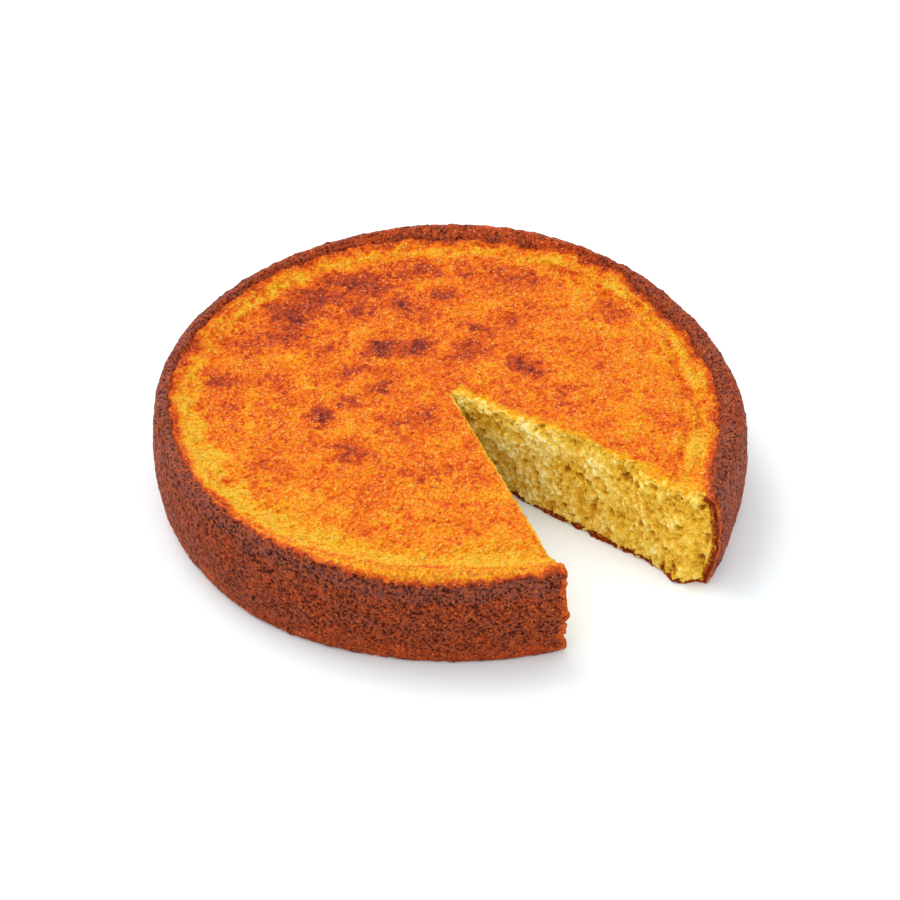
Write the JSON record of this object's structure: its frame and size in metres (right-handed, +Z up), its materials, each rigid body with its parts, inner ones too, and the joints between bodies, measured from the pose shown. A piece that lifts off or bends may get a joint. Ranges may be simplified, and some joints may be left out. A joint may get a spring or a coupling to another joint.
{
  "type": "cornmeal cake",
  "caption": "Round baked cornmeal cake with a raised browned rim, a pitted side crust and one wedge cut out to show the yellow crumb.",
  "frame": {"origin": "on the flat base, below the middle of the outline's bounding box", "axes": "+Z up from the base to the golden top; -Y towards the open mouth of the missing wedge; +X to the right for a viewer who looks into that mouth"},
  "size_m": [0.2254, 0.231, 0.043],
  "materials": {
    "side_crust": "dark red-brown baked crust, densely pitted, faintly oily",
    "golden_top": "golden orange baked skin with brown scorched patches, fine bumps and a soft sheen",
    "crumb": "moist yellow crumb, open and clumped, matte"
  },
  "bodies": {
    "root": {"cornmeal_cake": "side_crust"}
  },
  "joints": []
}
